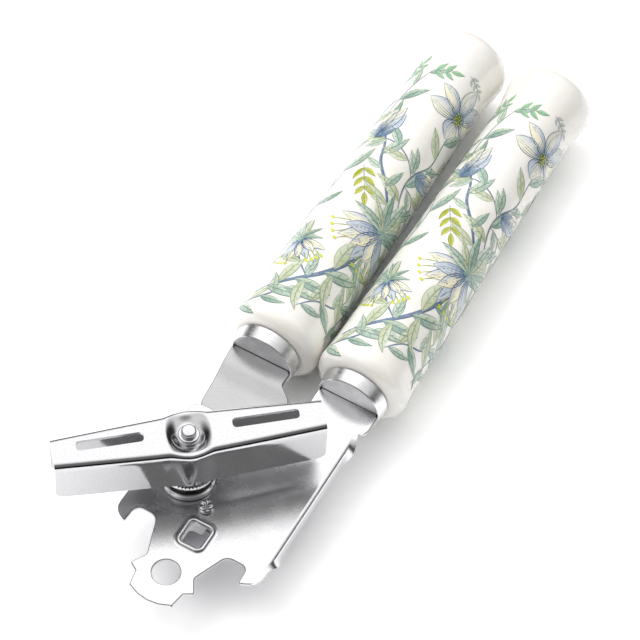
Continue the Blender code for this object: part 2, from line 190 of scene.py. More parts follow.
def welded_copy(node):
    """A CAD node's shape as a clean mesh in the working frame."""
    bm = bmesh.new()
    bm.from_mesh(frame["nodes"][node].data)
    bmesh.ops.remove_doubles(bm, verts=bm.verts[:], dist=2e-6)
    for vert in bm.verts:
        vert.co = (vert.co - BASE) / MM
    bmesh.ops.dissolve_limit(bm, angle_limit=radians(1.0), verts=bm.verts[:], edges=bm.edges[:])
    bmesh.ops.recalc_face_normals(bm, faces=bm.faces[:])
    return bm


def refined(node, finish, body, width=0.2, segments=2, angle=40.0, edge_finish=None):
    """A CAD node with its cut edges rounded over."""
    piece = add_piece(node + "_finished", welded_copy(node), finish, body, [node])
    return bevelled(piece, width, segments, angle, edge_finish)


# ---------------------------------------------------------------- materials

class Shader:
    """A Principled material and short ways to add nodes to it."""

    def __init__(self, name, colour, roughness, metallic=0.0):
        self.material = bpy.data.materials.new(name)
        self.material.use_nodes = True
        self.tree = self.material.node_tree
        self.surface = self.tree.nodes["Principled BSDF"]
        self.set("Base Color", (*colour, 1.0))
        self.set("Roughness", roughness)
        self.set("Metallic", metallic)

    def set(self, socket, value):
        self.surface.inputs[socket].default_value = value

    def node(self, kind, **settings):
        made = self.tree.nodes.new(kind)
        for key, value in settings.items():
            setattr(made, key, value)
        return made

    def link(self, source, target):
        self.tree.links.new(source, target)

    def coordinates(self, stretch=(1, 1, 1)):
        place = self.node("ShaderNodeTexCoord")
        mapping = self.node("ShaderNodeMapping")
        mapping.inputs["Scale"].default_value = stretch
        self.link(place.outputs["Object"], mapping.inputs["Vector"])
        return mapping.outputs["Vector"]

    def noise(self, scale, detail=3.0, stretch=(1, 1, 1), roughness=0.5):
        """Noise whose scale counts cells per metre."""
        made = self.node("ShaderNodeTexNoise")
        made.inputs["Scale"].default_value = scale
        made.inputs["Detail"].default_value = detail
        made.inputs["Roughness"].default_value = roughness
        self.link(self.coordinates(stretch), made.inputs["Vector"])
        return made.outputs["Fac"]

    def ramp(self, source, low, high, start=0.3, end=0.7):
        """source from start to end becomes a value from low to high."""
        made = self.node("ShaderNodeMapRange")
        for socket, value in zip(("From Min", "From Max", "To Min", "To Max"), (start, end, low, high)):
            made.inputs[socket].default_value = value
        self.link(source, made.inputs["Value"])
        return made.outputs["Result"]

    def mix(self, share, first, second):
        made = self.node("ShaderNodeMix", data_type="RGBA")
        for value, socket in ((first, made.inputs[6]), (second, made.inputs[7])):
            if isinstance(value, tuple):
                socket.default_value = (*value, 1.0)
            else:
                self.link(value, socket)
        self.link(share, made.inputs[0])
        return made.outputs[2]

    def bump(self, height, strength, distance, under=None):
        made = self.node("ShaderNodeBump")
        made.inputs["Strength"].default_value = strength
        made.inputs["Distance"].default_value = distance
        self.link(height, made.inputs["Height"])
        if under is not None:
            self.link(under, made.inputs["Normal"])
        return made.outputs["Normal"]

    def feed(self, socket, source):
        self.link(source, self.surface.inputs[socket])


def steel(name, colour, roughness, spread, grain, wave):
    """Plated steel: patchy gloss, a fine pressed grain, and a slow wave from the press."""
    made = Shader(name, colour, roughness, 1.0)
    made.feed("Roughness", made.ramp(made.noise(120, 4.0), roughness - spread, roughness + spread))
    darker = tuple(0.9 * c for c in colour)
    speckle = made.ramp(made.noise(1800, 3.0), 0.0, 1.0, 0.35, 0.75)
    made.feed("Base Color", made.mix(speckle, colour, darker))
    slow = made.bump(made.noise(22, 1.0), wave, 0.0008)
    made.feed("Normal", made.bump(made.noise(2600, 2.0), grain, 0.00003, slow))
    return made.material


def turned_steel(name, colour):
    """Satin steel with fine rings round the ferrule."""
    made = Shader(name, colour, 0.3, 1.0)
    rings = made.noise(4200, 2.0, (0.02, 1.0, 0.02))
    made.feed("Roughness", made.ramp(rings, 0.22, 0.42))
    darker = tuple(0.82 * c for c in colour)
    patches = made.ramp(made.noise(300, 3.0), 0.0, 1.0)
    made.feed("Base Color", made.mix(patches, colour, darker))
    made.feed("Normal", made.bump(rings, 0.35, 0.00005))
    return made.material


def glaze(name):
    """Warm white moulded handle under a clear glossy coat."""
    colour = srgb(246, 244, 239)
    made = Shader(name, colour, 0.22)
    made.set("Coat Weight", 0.7)
    made.set("Coat Roughness", 0.06)
    made.set("Subsurface Weight", 0.08)
    made.set("Subsurface Radius", (0.004, 0.003, 0.002))
    made.feed("Base Color", made.mix(made.ramp(made.noise(70, 3.0), 0.0, 1.0), colour, srgb(240, 236, 228)))
    made.feed("Roughness", made.ramp(made.noise(240, 4.0), 0.18, 0.30))
    made.feed("Normal", made.bump(made.noise(160, 2.0), 0.10, 0.0002))
    return made.material


def ink(name):
    """The printed pattern: painted colours with a mottled wash, under the same coat."""
    made = Shader(name, (0.5, 0.5, 0.5), 0.24)
    made.set("Coat Weight", 0.6)
    made.set("Coat Roughness", 0.07)
    paint = made.node("ShaderNodeVertexColor", layer_name="paint").outputs["Color"]
    wash = made.ramp(made.noise(700, 4.0, roughness=0.65), 0.0, 0.26, 0.5, 0.8)
    washed = made.mix(wash, paint, srgb(244, 242, 234))
    grain = made.ramp(made.noise(3200, 2.0), 0.0, 0.16, 0.5, 0.75)
    made.feed("Base Color", made.mix(grain, washed, srgb(96, 108, 116)))
    made.feed("Roughness", made.ramp(made.noise(400, 3.0), 0.2, 0.32))
    return made.material


# ---------------------------------------------------------------- handles

HANDLE_PROFILE = [             # (distance along Y, radius)
    (4.6, 9.4), (4.7, 10.5), (5.3, 11.8), (6.3, 12.9), (7.6, 13.5), (9.0, 13.6), (11.0, 13.45),
    (14.0, 13.15), (18.0, 13.0), (30.0, 12.85), (50.0, 12.5), (70.0, 12.15), (90.0, 11.85),
    (104.0, 11.7), (111.0, 11.85), (116.0, 12.5), (119.0, 12.9), (121.0, 12.95), (123.0, 12.4),
    (124.6, 11.0), (125.6, 8.6), (126.0, 5.0), (126.1, 0.0)]
HANDLE_BORE = [(0.0, 117.3), (7.5, 117.3), (8.5, 116.3), (8.5, 4.6)]
HANDLE_CURVE = curve_through(HANDLE_PROFILE, 6)


def handle_radius(y):
    """The handle's outer radius at a distance along Y, within its printed length."""
    for a, b in zip(HANDLE_CURVE, HANDLE_CURVE[1:]):
        if a.x <= y <= b.x:
            return a.y + (b.y - a.y) * (y - a.x) / (b.x - a.x)
    return HANDLE_CURVE[-1].y


# ---------------------------------------------------------------- the printed pattern

PRINT_FACING = radians(16.5)   # the sheet's middle line, from straight up towards +X
PRINT_RADIUS = 12.6            # turns distance across the sheet into an angle
PRINT_REPEAT = 39.6            # half the way round
PRINT_LIFT = 0.04              # the lowest layer above the glaze
LAYER_LIFT = 0.012             # one layer above another
STAGGER = 0.0012               # keeps crossing shapes of one layer apart
STAGGER_COUNT = 9

SAGE = srgb(172, 196, 170)
SAGE_LIGHT = srgb(214, 223, 200)
TEAL = srgb(132, 165, 150)
OLIVE = srgb(184, 194, 150)
SLATE = srgb(92, 122, 156)
SLATE_LIGHT = srgb(166, 183, 206)
PALE_BLUE = srgb(196, 207, 222)
CREAM = srgb(249, 241, 206)
TWIG = srgb(118, 124, 142)
LIME = srgb(206, 208, 8)
LIME_DEEP = srgb(150, 160, 10)
CENTRE = srgb(74, 92, 8)
INK = srgb(36, 58, 84)
FRESH = srgb(120, 184, 128)
FRESH_LIGHT = srgb(182, 214, 176)
PALE_GREY = srgb(206, 212, 208)

# Each leaf's tones are those of its base, its tip and its paler half.
LEAF_TONES = (
    (TEAL, SAGE_LIGHT, SAGE_LIGHT), (OLIVE, SAGE_LIGHT, SAGE_LIGHT), (TEAL, SAGE, SAGE_LIGHT),
    (SAGE, SAGE_LIGHT, PALE_GREY))
LIME_TONES = ((LIME_DEEP, LIME, LIME),)
FRESH_TONES = ((FRESH, FRESH_LIGHT, FRESH_LIGHT), (FRESH, SAGE, FRESH_LIGHT), (LIME_DEEP, SAGE_LIGHT, LIME))


def blend(first, second, share):
    return tuple(a + (b - a) * share for a, b in zip(first, second))


def across(rows, i, place):
    """A point of row i, with place running from 0 at its first point to 1 at its last."""
    row = rows[i]
    place *= len(row) - 1
    k = min(int(place), len(row) - 2)
    return row[k] + (row[k + 1] - row[k]) * (place - k)


class Sheet:
    """The flat printed sheet: u across it and v along the handle, in millimetres."""

    def __init__(self, seed):
        self.grids = []
        self.random = Random(seed)

    def grid(self, rows, colours, layer):
        """Keeps one painted shape: rows of points, and a colour for each point."""
        lift = PRINT_LIFT + LAYER_LIFT * layer + STAGGER * (len(self.grids) % STAGGER_COUNT)
        self.grids.append((rows, colours, lift))

    def line(self, points, width, colour, layer, smooth=4, end_colour=None, taper=0.12):
        """A drawn line through points, thinner at its ends."""
        line = curve_through([(u, v) for u, v in points], smooth)
        rows, colours = [], []
        for i, point in enumerate(line):
            t = i / (len(line) - 1)
            ahead = line[min(i + 1, len(line) - 1)] - line[max(i - 1, 0)]
            sideways = Vector((-ahead.y, ahead.x)).normalized()
            half = width / 2 * sin(pi * (taper + (1 - 2 * taper) * t))
            rows.append([point + sideways * half, point - sideways * half])
            tone = blend(colour, end_colour or colour, t)
            colours.append([tone, tone])
        self.grid(rows, colours, layer)

    def blade(self, base, heading, length, width, bend, layer, fullest, point, paint):
        """A leaf or petal. paint(t, column) gives its colour from base to tip."""
        steps = 9
        spine = [Vector(base)]
        angle = radians(heading)
        for i in range(steps):
            spine.append(spine[-1] + Vector((cos(angle), sin(angle))) * length / steps)
            angle += radians(bend) / steps
        rows, colours = [], []
        for i, centre in enumerate(spine):
            t = i / steps
            ahead = spine[min(i + 1, steps)] - spine[max(i - 1, 0)]
            sideways = Vector((-ahead.y, ahead.x)).normalized()
            half = width / 2 * sin(pi * t ** fullest) ** point + 0.03
            rows.append([centre + sideways * half * k for k in (1.0, 0.5, 0.0, -0.5, -1.0)])
            colours.append([paint(t, column) for column in range(5)])
        self.grid(rows, colours, layer)
        return spine, rows

    def leaf(self, base, heading, length, width, bend, tones, layer=1):
        """A leaf with a pale half and a dark half, its midrib, side veins and a drawn edge."""
        root, tip, light = tones
        dark = blend(root, INK, 0.4)

        def paint(t, column):
            body = blend(root, tip, t)
            return blend(body, light if column < 2 else root, (0.75, 0.45, 0.0, 0.3, 0.5)[column])

        spine, rows = self.blade(base, heading, length, width, bend, layer, 0.85, 0.95, paint)
        pen = 0.14 + 0.017 * length
        self.line(spine[0:8:2] + [spine[9]], pen, dark, layer + 1)
        self.line([row[4] for row in rows[1::2]], pen, dark, layer + 1)
        self.line([row[0] for row in rows[0:8:2]], pen * 0.6, blend(root, INK, 0.25), layer + 1)
        if width < 1.7:
            return
        for i in range(2, 8):
            place = 0.12 if i % 2 else 0.88
            start = spine[i]
            end = across(rows, min(i + 1, 9), place)
            self.line([start, (start + end) / 2, end], pen * 0.65, dark, layer + 1, 1)

    def petal(self, base, heading, length, width, bend, cream, layer=3, hatches=6, point=0.75):
        """A blue petal with a cream light along one side, drawn edges and fine lines from its base."""
        dark = blend(SLATE, INK, 0.5)

        def paint(t, column):
            body = blend(SLATE, blend(SLATE_LIGHT, PALE_BLUE, t), smoothstep(0.0, 0.38, t))
            share = cream * smoothstep(0.10, 0.40, t) * (1.0, 1.0, 0.85, 0.45, 0.1)[column]
            return blend(body, CREAM, share)

        spine, rows = self.blade(base, heading, length, width, bend, layer, 1.2, point, paint)
        self.line([row[4] for row in rows[::3]], 0.26, dark, layer + 1)
        self.line([row[0] for row in rows[::3]], 0.2, dark, layer + 1)
        for k in range(hatches):
            place = (k + 0.7) / (hatches + 0.4)
            reach = 4 + self.random.randrange(4)
            lines = [across(rows, i, place) for i in range(0, reach + 1, 2)]
            self.line(lines, 0.19, blend(dark, SLATE, 0.4), layer + 1, 2)
        for k in range(2):
            place = 0.3 + 0.4 * self.random.random()
            self.line([across(rows, i, place) for i in (6, 7, 8)], 0.15, SLATE, layer + 1, 1)

    def dots(self, centre, spread, count, size, colour, layer):
        """Small seeds in a sunflower spiral."""
        for k in range(count):
            r = spread * sqrt((k + 0.5) / count)
            a = 2.39996 * k
            u, v = centre[0] + r * cos(a), centre[1] + r * sin(a)
            self.line([(u - size / 2, v), (u, v + 0.05), (u + size / 2, v)], size, colour, layer, 2)


def branch(sheet, points, width, colour, leaves, size, tones=LEAF_TONES, first=0.1, slimness=0.29):
    """A stem with leaves on both sides by turns."""
    line = curve_through(points, 8)
    dark = blend(colour, INK, 0.55)
    sheet.line(points, width, colour, 0, 6, blend(colour, TWIG, 0.6))
    if width > 0.7:
        edge = [Vector(p) + Vector((0.26, -0.26)) * width for p in points]
        sheet.line(edge, 0.26, dark, 1, 6)
    for k in range(leaves):
        t = first + (0.99 - first) * k / max(1, leaves - 1)
        i = min(len(line) - 2, int(t * (len(line) - 1)))
        ahead = line[i + 1] - line[i]
        side = 1 if k % 2 else -1
        turn = side * sheet.random.uniform(34, 58)
        length = size * sheet.random.uniform(0.95, 1.5)
        heading = degrees(atan2(ahead.y, ahead.x)) + turn
        sheet.leaf(line[i], heading, length, length * slimness, -turn * sheet.random.uniform(-0.4, 0.9),
                   tones[k % len(tones)], 1)


def open_flower(sheet, centre, size):
    """Six uneven petals round a dark seeded middle."""
    for heading, reach, width, bend, cream in (
            (188, 1.0, 0.44, -24, 0.75), (4, 0.8, 0.46, 8, 1.0), (47, 1.05, 0.46, 10, 0.3),
            (138, 1.06, 0.34, 22, 0.9), (94, 1.04, 0.44, -10, 0.6), (262, 0.66, 0.54, 10, 0.6)):
        sheet.petal(centre, heading, size * reach, size * width, bend, cream, 3, 6, 0.62)
    for heading in range(0, 360, 24):
        a = radians(heading)
        reach = size * sheet.random.uniform(0.2, 0.34)
        sheet.line([centre, (centre[0] + reach * cos(a), centre[1] + reach * sin(a))], 0.3, INK, 5, 3)
    sheet.dots(centre, 0.13 * size, 16, 1.15, CENTRE, 6)
    sheet.dots(centre, 0.17 * size, 16, 0.42, LIME, 7)


def stamens(sheet, centre, heading, near, far, count):
    """Fine stalks with yellow tips, between two distances from a flower's centre."""
    for k in range(count):
        a = radians(heading + 9 * (k - (count - 1) / 2))
        start = (centre[0] + near * cos(a), centre[1] + near * sin(a))
        tip = (centre[0] + far * cos(a), centre[1] + far * sin(a))
        sheet.line([start, tip], 0.34, LIME_DEEP, 5, 2)
        sheet.dots(tip, 0.35, 2, 0.85, LIME, 6)


def bell_flower(sheet, centre, size, heading, petals, fan):
    """Hanging narrow petals under a crown of leaves, with stamens at their mouths."""
    stamens(sheet, centre, heading - fan * 0.33, size * 0.7, size * 1.12, 4)
    stamens(sheet, centre, heading + fan * 0.30, size * 0.7, size * 1.06, 4)
    order = sorted(range(petals), key=lambda k: (k % 2, k))
    for k in order:
        place = k / (petals - 1) - 0.5
        cream = 0.2 if k % 3 == 1 else 1.0
        reach = size * (1.0 - 0.16 * (k % 2)) * sheet.random.uniform(0.94, 1.05)
        layer = 3 + 2 * (k % 2)
        sheet.petal(centre, heading + fan * place, reach, size * 0.26, 34 * place, cream, layer, 4, 0.62)
    sheet.dots(centre, 0.1 * size, 5, 1.3, TEAL, 7)


def crown(sheet, centre, headings, size):
    """Narrow leaves that fan out from a flower's stalk."""
    for k, heading in enumerate(headings):
        length = size * sheet.random.uniform(0.82, 1.12)
        bend = sheet.random.uniform(-26, 26)
        sheet.leaf(centre, heading, length, length * 0.22, bend, LEAF_TONES[(0, 2, 1)[k % 3]], 7)


def bud(sheet, base, heading, size):
    """Three closed petals between two small leaves."""
    for turn, reach, width, cream in ((-24, 0.86, 0.26, 0.2), (22, 0.92, 0.28, 0.9), (0, 1.0, 0.30, 0.85)):
        sheet.petal(base, heading + turn, size * reach, size * width, -turn * 1.3, cream, 3, 5, 0.8)
    for turn in (-52, 44):
        sheet.leaf(base, heading + turn, size * 0.5, size * 0.13, -turn, (SLATE, SLATE_LIGHT, TEAL), 5)


def sprig(sheet, base, heading, length, pairs, tones, size):
    """Small leaves in pairs along a thin stem."""
    a = radians(heading)
    step = Vector((cos(a), sin(a))) * length / pairs
    points = [Vector(base) + step * k for k in range(pairs + 1)]
    sheet.line(points, 0.3, TWIG, 1)
    for k, point in enumerate(points[1:]):
        for turn in (-48, 48):
            sheet.leaf(point - step * 0.6, heading + turn, size * (1 - 0.08 * k), size * 0.3, -turn * 0.3,
                       tones[k % len(tones)], 2)
    sheet.leaf(points[-1], heading, size, size * 0.3, 0, tones[0], 2)


def draw_pattern(sheet):
    """One repeat of the pattern, about 40 by 100 mm."""
    branch(sheet, [(-15, 14), (-8, 18.5), (-1, 25), (4, 33), (7, 41), (8.4, 49)], 1.25, SLATE, 11, 9.0)
    branch(sheet, [(8.4, 50), (5, 57), (0.5, 63), (-4.5, 69), (-7, 76), (-12, 84)], 1.0, SLATE, 7, 7.0)
    branch(sheet, [(12, 53), (8, 60), (5.8, 66), (6.4, 72), (9.6, 78.5), (9.2, 86), (8.4, 96)],
           0.62, TWIG, 8, 8.0)
    branch(sheet, [(6.2, 70), (1.5, 74.5), (-5, 77), (-12, 77)], 0.5, TWIG, 5, 8.0)
    branch(sheet, [(6, 66.5), (10.5, 66), (14, 62), (16, 56)], 0.5, TWIG, 5, 6.5)
    branch(sheet, [(9.6, 78.5), (14.5, 80), (19, 85)], 0.45, TWIG, 3, 6.5)
    branch(sheet, [(-3, 23), (-8, 28), (-12, 35)], 0.7, SLATE, 4, 6.0)
    branch(sheet, [(-7, 76), (-13, 86), (-12, 97), (-8, 106)], 0.4, TWIG, 5, 7.0)
    branch(sheet, [(18, 58), (16.5, 68), (18.5, 78), (17, 90), (19, 102)], 0.4, TWIG, 7, 7.5)
    branch(sheet, [(-20, 30), (-18, 42), (-16, 52), (-14.5, 62), (-17, 70)], 0.5, TWIG, 6, 8.0)
    branch(sheet, [(12, 12), (14, 21), (17, 31), (16.5, 42), (18.5, 52)], 0.6, TWIG, 10, 8.5, slimness=0.24)
    branch(sheet, [(-1, 13), (3, 18), (9, 21), (12, 27)], 0.5, SLATE, 6, 6.5)
    branch(sheet, [(-19, 9), (-14, 10.5), (-9.5, 13), (-6, 17)], 0.7, SLATE, 5, 7.0)
    for base, heading, length, tones in (
            ((-2.5, 21.5), 262, 10.5, LEAF_TONES[1]), ((3, 28), 268, 11.5, LEAF_TONES[1]),
            ((7.2, 39), 282, 10.0, LEAF_TONES[0]), ((14, 19), 250, 8.0, LEAF_TONES[0])):
        sheet.leaf(base, heading, length, length * 0.24, 46, tones, 3)
    open_flower(sheet, (8.4, 96.6), 12.0)
    bell_flower(sheet, (8.4, 49.6), 14.0, 244, 8, 98)
    crown(sheet, (8.4, 50.2), (8, 40, 68, 92, 118, 144, 172), 12.2)
    bell_flower(sheet, (-11.4, 35.0), 9.0, 292, 7, 100)
    crown(sheet, (-11.4, 35.4), (22, 56, 90, 122, 156), 7.4)
    bud(sheet, (-11.6, 77.2), 72, 13.6)
    bud(sheet, (7.0, 71.6), 20, 11.5)
    bud(sheet, (18.6, 84.6), 84, 8.5)
    sprig(sheet, (-8.4, 66.0), 300, 10.5, 3, LIME_TONES, 5.0)
    sprig(sheet, (-8, 106), 18, 6.0, 2, FRESH_TONES, 4.4)
    sprig(sheet, (3.5, 110.5), -16, 6.0, 3, ((PALE_GREY, PALE_GREY, SAGE_LIGHT),), 2.6)
    sprig(sheet, (-16, 104), 60, 5.0, 2, FRESH_TONES, 4.0)


def printed_pattern(sheet, side):
    """The sheet wrapped twice round a handle."""
    bm = bmesh.new()
    paint = bm.loops.layers.float_color.new("paint")
    for repeat in (0, 1):
        for rows, colours, lift in sheet.grids:
            verts = []
            for row in rows:
                line = []
                for u, v in row:
                    angle = PRINT_FACING + (u + repeat * PRINT_REPEAT) / PRINT_RADIUS
                    r = handle_radius(v) + lift
                    line.append(bm.verts.new((side + r * sin(angle), v, r * cos(angle))))
                verts.append(line)
            for i in range(len(verts) - 1):
                for k in range(len(verts[i]) - 1):
                    places = [(i, k), (i, k + 1), (i + 1, k + 1), (i + 1, k)]
                    face = bm.faces.new([verts[a][b] for a, b in places])
                    for loop, (a, b) in zip(face.loops, places):
                        loop[paint] = (*colours[a][b], 1.0)
    return bm


# ---------------------------------------------------------------- the key

KEY_ANGLE = radians(40.7)
KEY_HALF_LENGTH = 36.5
KEY_END_HALF_WIDTH = 4.8
KEY_HUB_HALF_WIDTH = 6.9
KEY_TAPER_POWER = 1.15
KEY_FAR_BULGE = 1.0            # the hub pushes the far side out more than the near one
KEY_NEAR_BULGE = 0.7
KEY_BULGE_HALF_LENGTH = 6.8
KEY_SHEET = 1.0
KEY_BEND_RADIUS = 1.8
KEY_CORNER_RADIUS = 2.2
DIMPLE_FLOOR_RADIUS = 2.9
DIMPLE_RIM_RADIUS = 6.3
DIMPLE_DEPTH = 2.0
DIMPLE_FAR_STRETCH = 0.70      # under 1, so the dimple is longer across the key
DIMPLE_NEAR_STRETCH = 0.55
DIMPLE_NEAR_RISE = 0.095       # its floor climbs towards the near side, as a share per millimetre
KEY_SLOT = (11.9, 30.0, 1.0, 3.0)          # start, end, centre offset, width
KEY_SLOT_CORNER = 1.1
KEY_BORE_RADIUS = 2.3


def key_half_width(s, bulge):
    """Half the key's width at distance s from the spindle. The bulge is the hub's."""
    taper = min(1.0, abs(s) / KEY_HALF_LENGTH) ** KEY_TAPER_POWER
    width = KEY_HUB_HALF_WIDTH + (KEY_END_HALF_WIDTH - KEY_HUB_HALF_WIDTH) * taper
    return width + bulge * max(0.0, 1 - (s / KEY_BULGE_HALF_LENGTH) ** 2) ** 2


def dimple_depth(s, n):
    """How far the hub is pressed in at a point of the key's top."""
    reach = hypot(s, n * (DIMPLE_FAR_STRETCH if n > 0 else DIMPLE_NEAR_STRETCH))
    width = DIMPLE_RIM_RADIUS - DIMPLE_FLOOR_RADIUS
    climb = min(1.0, max(0.0, (reach - DIMPLE_FLOOR_RADIUS) / width))
    depth = DIMPLE_DEPTH * (1 - 0.55 * climb - 0.45 * smoothstep(0.0, 1.0, climb))
    return depth * (1 - DIMPLE_NEAR_RISE * max(0.0, -n))


def key_section(s, inset):
    """(n, z) points across the key at s, from the near flange's foot over the top to the far one."""
    low, high = KEY_BOX[0].z, KEY_BOX[1].z
    past = max(0.0, abs(s) - (KEY_HALF_LENGTH - KEY_CORNER_RADIUS))
    foot = low + KEY_CORNER_RADIUS - sqrt(max(0.0, KEY_CORNER_RADIUS ** 2 - past ** 2))
    radius = KEY_BEND_RADIUS - inset
    shoulder = high - KEY_BEND_RADIUS

    def side(bulge):
        half = key_half_width(s, bulge) - inset
        wall = [(half, foot + (shoulder - foot) * k / 8) for k in range(8)]
        quarter = [radians(15 * k) for k in range(7)]
        return wall + [(half - radius + radius * cos(a), shoulder + radius * sin(a)) for a in quarter]

    near, far = side(KEY_NEAR_BULGE), side(KEY_FAR_BULGE)
    start, end = -near[-1][0], far[-1][0]
    top = [(start + (end - start) * k / 28, high - inset) for k in range(1, 28)]
    whole = [(-n, z) for n, z in near] + top + list(reversed(far))
    return [(n, z - dimple_depth(s, n) * smoothstep(low, shoulder, z)) for n, z in whole]


def placed_on_key(s, n, z):
    return Vector((
        SPINDLE.x + s * cos(KEY_ANGLE) - n * sin(KEY_ANGLE),
        SPINDLE.y + s * sin(KEY_ANGLE) + n * cos(KEY_ANGLE), z))


def key_shell():
    """The folded sheet with its two faces, closed round its feet and its ends."""
    hub = [0.36 * k for k in range(22)]
    corner = [KEY_HALF_LENGTH - KEY_CORNER_RADIUS * (1 - sin(radians(15 * k))) for k in range(7)]
    positive = hub + [8.4 + 1.7 * k for k in range(16)] + corner
    stations = [-s for s in reversed(positive[1:])] + positive
    bm = bmesh.new()
    outer, inner = [
        [[bm.verts.new(placed_on_key(s, n, z)) for n, z in key_section(s, inset)] for s in stations]
        for inset in (0.0, KEY_SHEET)]
    last = len(outer[0]) - 1
    for i in range(len(stations) - 1):
        for k in range(last):
            bm.faces.new((outer[i][k], outer[i + 1][k], outer[i + 1][k + 1], outer[i][k + 1]))
            bm.faces.new((inner[i][k], inner[i][k + 1], inner[i + 1][k + 1], inner[i + 1][k]))
        for k in (0, last):
            bm.faces.new((outer[i][k], inner[i][k], inner[i + 1][k], outer[i + 1][k]))
    for i in (0, len(stations) - 1):
        for k in range(last):
            bm.faces.new((outer[i][k], outer[i][k + 1], inner[i][k + 1], inner[i][k]))
    bmesh.ops.recalc_face_normals(bm, faces=bm.faces[:])
    return bm


def key_cutter(side):
    """A round-ended bar through one wing's top."""
    start, end, offset, width = KEY_SLOT
    corner = KEY_SLOT_CORNER
    half = width / 2
    outline = []
    for s, n, first in ((end, half, 0), (start, half, 90), (start, -half, 180), (end, -half, 270)):
        toward_s = corner if s == start else -corner
        toward_n = corner if n < 0 else -corner
        for k in range(7):
            a = radians(first + 15 * k)
            outline.append((s + toward_s + corner * cos(a), offset + n + toward_n + corner * sin(a)))
    bm = bmesh.new()
    low = [bm.verts.new(placed_on_key(side * s, n, KEY_BOX[1].z - 4)) for s, n in outline]
    bm.faces.new(low)
    made = bmesh.ops.extrude_face_region(bm, geom=bm.faces[:])["geom"]
    raised = [part for part in made if isinstance(part, bmesh.types.BMVert)]
    bmesh.ops.translate(bm, vec=(0, 0, 6), verts=raised)
    bmesh.ops.recalc_face_normals(bm, faces=bm.faces[:])
    return bm


def hub_cutter():
    """A round bar for the spindle's hole."""
    low, high = KEY_BOX[1].z - 5, KEY_BOX[1].z + 2
    profile = [(0.0, low), (KEY_BORE_RADIUS, low), (KEY_BORE_RADIUS, high), (0.0, high)]
    return lathe(profile, (SPINDLE.x, SPINDLE.y, 0), 32)


def combined(bm, tools, operation="DIFFERENCE"):
    """The mesh with each tool taken out of it, or joined to it."""
    for tool in tools:
        objects = []
        for source in (bm, tool):
            mesh = bpy.data.meshes.new("working")
            source.to_mesh(mesh)
            source.free()
            objects.append(bpy.data.objects.new("working", mesh))
            bpy.context.scene.collection.objects.link(objects[-1])
        modifier = objects[0].modifiers.new("cut", "BOOLEAN")
        modifier.operation = operation
        modifier.solver = "EXACT"
        modifier.object = objects[1]
        bpy.context.view_layer.update()
        bm = bmesh.new()
        bm.from_mesh(objects[0].evaluated_get(bpy.context.evaluated_depsgraph_get()).to_mesh())
        for obj in objects:
            mesh = obj.data
            bpy.data.objects.remove(obj)
            bpy.data.meshes.remove(mesh)
    return bm


# ---------------------------------------------------------------- collar, washers and rivets

COLLAR_LOW = 0.9
COLLAR_BORE = 2.7
BUSH_BODY_RADIUS = 5.5
BUSH_BODY_BORE = 2.0
SERRATIONS = 44
SERRATION_STEPS = 6
CUTTER_RIVET_HEAD = 1.3        # height of the rivet's head above its seat
RIVET_LOBES = 4


def collar_and_bush():
    """The polished conical collar, its bore, and the eccentric body below it."""
    low, high = COLLAR_LOW, BUSH_BOX[1].z
    radius = (BUSH_BOX[1].x - BUSH_BOX[0].x) / 2
    foot = [
        (COLLAR_BORE, low), (radius - 0.25, low), (radius, low + 0.25), (radius, low + 0.75),
        (radius - 0.25, low + 1.0), (radius - 0.6, low + 1.1)]
    cone = [
        (radius - 0.75 - 1.5 * t, low + 1.2 + 2.25 * t - 0.25 * sin(pi * t))
        for t in (0, 0.2, 0.4, 0.6, 0.8, 1.0)]
    lip = [
        (radius - 1.9, high - 0.5), (radius - 1.4, high - 0.3), (radius - 1.5, high), (COLLAR_BORE, high)]
    bm = lathe(foot + cone + lip, (SPINDLE.x, SPINDLE.y, 0), 96)
    bottom, top = BUSH_BOX[0].z, low + 0.1
    body = [
        (BUSH_BODY_RADIUS, bottom), (BUSH_BODY_RADIUS, top), (BUSH_BODY_BORE, top), (BUSH_BODY_BORE, bottom)]
    lathe(body, (PIVOT.x, PIVOT.y, 0), 64, bm=bm)
    return bm


def serrated_washer():
    """A thin dark washer with fine teeth round its rim."""
    low, high = TOOTHED_BOX[0].z, TOOTHED_BOX[1].z
    count = SERRATIONS * SERRATION_STEPS
    bm = bmesh.new()
    rings = []
    for radius, z, depth in (
            (2.8, low, 0), (6.3, low, 0), (6.9, low + 0.15, 0.35), (6.95, (low + high) / 2, 0.4),
            (6.9, high - 0.15, 0.35), (6.3, high, 0), (2.8, high, 0)):
        ring = []
        for k in range(count):
            a = 2 * pi * k / count
            r = radius + depth * cos(SERRATIONS * a)
            ring.append(bm.verts.new((SPINDLE.x + r * cos(a), SPINDLE.y + r * sin(a), z)))
        rings.append(ring)
    for ring, following in zip(rings, rings[1:] + rings[:1]):
        for k in range(count):
            bm.faces.new((ring[k], ring[(k + 1) % count], following[(k + 1) % count], following[k]))
    bmesh.ops.recalc_face_normals(bm, faces=bm.faces[:])
    return bm


def spindle():
    """The stepped spindle. Its upper end is peened to a small button."""
    low, high = SPINDLE_BOX[0].z, SPINDLE_BOX[1].z
    seat = KEY_BOX[1].z - DIMPLE_DEPTH - KEY_SHEET - 0.05
    button = [
        (1.35 + 0.75 * cos(radians(a)), high - 0.75 + 0.6 * sin(radians(a))) for a in range(0, 91, 10)]
    crown_of_button = [(0.9, high - 0.06), (0.45, high - 0.01), (0.0, high)]
    shank = [
        (0.0, low), (1.6, low), (2.0, low + 0.4), (2.0, -3.7), (2.4, -3.7), (2.4, 6.9), (3.4, 6.9),
        (3.4, seat), (2.0, seat), (2.0, high - 1.5), (2.1, high - 1.45)]
    return lathe(shank + button + crown_of_button, (SPINDLE.x, SPINDLE.y, 0), 64)


